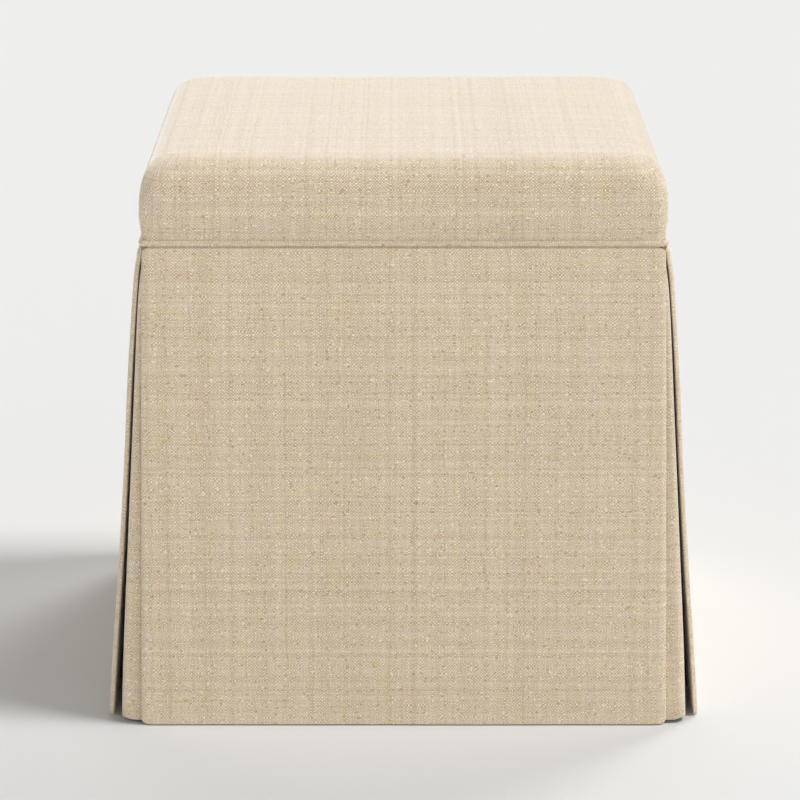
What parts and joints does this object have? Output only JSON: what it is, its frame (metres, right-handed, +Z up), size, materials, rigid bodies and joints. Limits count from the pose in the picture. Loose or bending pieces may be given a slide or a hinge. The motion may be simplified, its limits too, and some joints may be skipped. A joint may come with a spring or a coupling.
{
  "type": "skirted storage ottoman on a plain wooden box",
  "caption": "Square storage ottoman: a padded lift-off lid with a welt, over a plain box that carries a tailored skirt of flat panels with corner underlays.",
  "frame": {"origin": "on the floor under the middle of the ottoman", "axes": "+Z up, -Y towards the front, +X to the right as seen from the front"},
  "size_m": [0.4822, 0.4822, 0.4629],
  "materials": {
    "seat_cloth": "plain-weave linen blend, oatmeal, slubbed, matte",
    "welt_cloth": "the same linen, cut on the cross over a cord",
    "skirt_cloth": "the same linen, interlined and lined, matte",
    "underlay_cloth": "the same linen, folded once, matte",
    "box_board": "plain pale plywood, sanded, bare",
    "lid_board": "plain pale plywood, sanded, bare",
    "foot_wood": "dark stained block, satin"
  },
  "bodies": {
    "box": {"box_front": "box_board", "box_right": "box_board", "box_back": "box_board", "box_left": "box_board", "box_base": "box_board", "foot_front_left": "foot_wood", "foot_front_right": "foot_wood", "foot_back_left": "foot_wood", "foot_back_right": "foot_wood", "skirt_front": "skirt_cloth", "skirt_right": "skirt_cloth", "skirt_back": "skirt_cloth", "skirt_left": "skirt_cloth", "underlay_front_right": "underlay_cloth", "underlay_back_right": "underlay_cloth", "underlay_back_left": "underlay_cloth", "underlay_front_left": "underlay_cloth"},
    "lid": {"lid_board": "lid_board", "lid_locator": "lid_board", "lid_welt": "welt_cloth", "lid_cushion": "seat_cloth"}
  },
  "joints": [
    {"name": "lid_lift", "type": "slide", "parent": "box", "child": "lid", "axis": [0, 0, 1], "range_m": [0, 0.25]}
  ]
}
